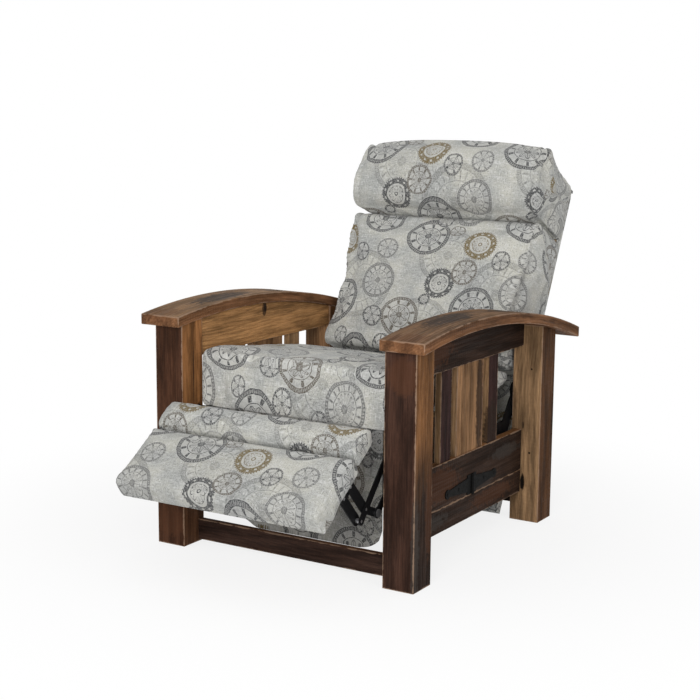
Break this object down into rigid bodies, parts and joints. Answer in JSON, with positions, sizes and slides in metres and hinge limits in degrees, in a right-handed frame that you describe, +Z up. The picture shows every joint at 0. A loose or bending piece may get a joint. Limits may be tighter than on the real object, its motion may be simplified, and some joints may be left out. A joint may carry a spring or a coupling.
{
  "type": "mission reclining armchair",
  "caption": "Mission reclining armchair in old timber with arched arms, slatted sides, printed linen padding, a tilting back and a fold-out footrest.",
  "frame": {"origin": "on the floor under the middle of the whole chair, as it stands half open", "axes": "+Z up, the sitter faces -Y, +X to the sitter's left"},
  "size_m": [0.873, 1.4539, 1.0666],
  "materials": {
    "honey_wood": "satin",
    "dark_wood": "satin",
    "arm_wood": "satin",
    "inner_timber": "matte",
    "printed_linen": "matte",
    "black_steel": "satin",
    "steel_studs": "satin",
    "spring_wire": "satin",
    "iron": "matte"
  },
  "bodies": {
    "frame": {"front_post_left": "honey_wood", "front_post_right": "honey_wood", "rear_post_left": "honey_wood", "rear_post_right": "honey_wood", "arm_left": "arm_wood", "arm_right": "arm_wood", "top_rail_left": "dark_wood", "top_rail_right": "dark_wood", "upper_side_board_left": "dark_wood", "upper_side_board_right": "dark_wood", "lower_side_board_left": "dark_wood", "lower_side_board_right": "dark_wood", "wide_slat_left": "honey_wood", "wide_slat_right": "honey_wood", "narrow_slats_left": "dark_wood", "narrow_slats_right": "dark_wood", "strap_hinge_left": "iron", "strap_hinge_right": "iron", "side_plate_left": "black_steel", "side_plate_right": "black_steel", "plate_studs_left": "steel_studs", "plate_studs_right": "steel_studs", "front_stretcher": "dark_wood", "rear_stretcher": "dark_wood", "cleats": "inner_timber", "mechanism_screws": "steel_studs", "cross_tubes": "black_steel", "seat_box_ends": "inner_timber", "seat_box_sides": "inner_timber", "seat_springs": "spring_wire", "seat_cushion": "printed_linen", "apron": "printed_linen", "seat_side_covers": "printed_linen"},
    "main_link_left": {"main_link_left": "black_steel", "main_link_studs_left": "steel_studs"},
    "ottoman_link_left": {"ottoman_link_left": "black_steel", "ottoman_link_studs_left": "steel_studs"},
    "guide_link_left": {"guide_link_left": "black_steel"},
    "drive_link_left": {"drive_link_left": "black_steel"},
    "main_link_right": {"main_link_right": "black_steel", "main_link_studs_right": "steel_studs"},
    "ottoman_link_right": {"ottoman_link_right": "black_steel", "ottoman_link_studs_right": "steel_studs"},
    "guide_link_right": {"guide_link_right": "black_steel"},
    "drive_link_right": {"drive_link_right": "black_steel"},
    "footrest": {"footrest_board": "inner_timber", "footrest_pad": "printed_linen", "footrest_roll": "printed_linen", "footrest_bracket_left": "black_steel", "footrest_bracket_right": "black_steel", "bracket_fasteners_left": "steel_studs", "bracket_fasteners_right": "steel_studs"},
    "back": {"back_cover": "printed_linen", "back_stiles": "inner_timber", "back_rails": "inner_timber", "back_springs": "spring_wire", "back_cushion": "printed_linen", "head_roll": "printed_linen", "back_brackets": "black_steel"}
  },
  "joints": [
    {"name": "footrest_swing", "type": "hinge", "parent": "frame", "child": "main_link_left", "pos_m": [0.298, -0.357, 0.362], "axis": [-1, 0, 0], "range_deg": [-56, 34]},
    {"name": "knee_left", "type": "hinge", "parent": "main_link_left", "child": "ottoman_link_left", "pos_m": [0.292, -0.48493, 0.21483], "axis": [-1, 0, 0], "range_deg": [-45.8, 75.4]},
    {"name": "toe_left", "type": "hinge", "parent": "ottoman_link_left", "child": "footrest", "pos_m": [0.287, -0.55109, 0.28577], "axis": [-1, 0, 0], "range_deg": [-75.4, 45.8]},
    {"name": "guide_left", "type": "hinge", "parent": "main_link_left", "child": "guide_link_left", "pos_m": [0.287, -0.50724, 0.18917], "axis": [-1, 0, 0], "range_deg": [-45.8, 75.4]},
    {"name": "drive_left", "type": "hinge", "parent": "frame", "child": "drive_link_left", "pos_m": [0.3, -0.29, 0.332], "axis": [-1, 0, 0], "range_deg": [-55, 33.4]},
    {"name": "footrest_swing_right", "type": "hinge", "parent": "frame", "child": "main_link_right", "pos_m": [-0.298, -0.357, 0.362], "axis": [-1, 0, 0], "range_deg": [-56.1, 34.1]},
    {"name": "knee_right", "type": "hinge", "parent": "main_link_right", "child": "ottoman_link_right", "pos_m": [-0.292, -0.48493, 0.21483], "axis": [-1, 0, 0], "range_deg": [-45.8, 75.4]},
    {"name": "guide_right", "type": "hinge", "parent": "main_link_right", "child": "guide_link_right", "pos_m": [-0.287, -0.50724, 0.18917], "axis": [-1, 0, 0], "range_deg": [-45.8, 75.4]},
    {"name": "drive_right", "type": "hinge", "parent": "frame", "child": "drive_link_right", "pos_m": [-0.3, -0.29, 0.332], "axis": [-1, 0, 0], "range_deg": [-55, 33.4]},
    {"name": "back_tilt", "type": "hinge", "parent": "frame", "child": "back", "pos_m": [0, 0.34, 0.38], "axis": [-1, 0, 0], "range_deg": [-8, 22]}
  ],
  "couplings": [
    {"joint": "knee_left", "follows": "footrest_swing", "ratio": -1.345},
    {"joint": "toe_left", "follows": "footrest_swing", "ratio": 1.345},
    {"joint": "guide_left", "follows": "footrest_swing", "ratio": -1.345},
    {"joint": "drive_left", "follows": "footrest_swing", "ratio": 0.98},
    {"joint": "footrest_swing_right", "follows": "footrest_swing", "ratio": 1},
    {"joint": "knee_right", "follows": "footrest_swing", "ratio": -1.345},
    {"joint": "guide_right", "follows": "footrest_swing", "ratio": -1.345},
    {"joint": "drive_right", "follows": "footrest_swing", "ratio": 0.98}
  ]
}
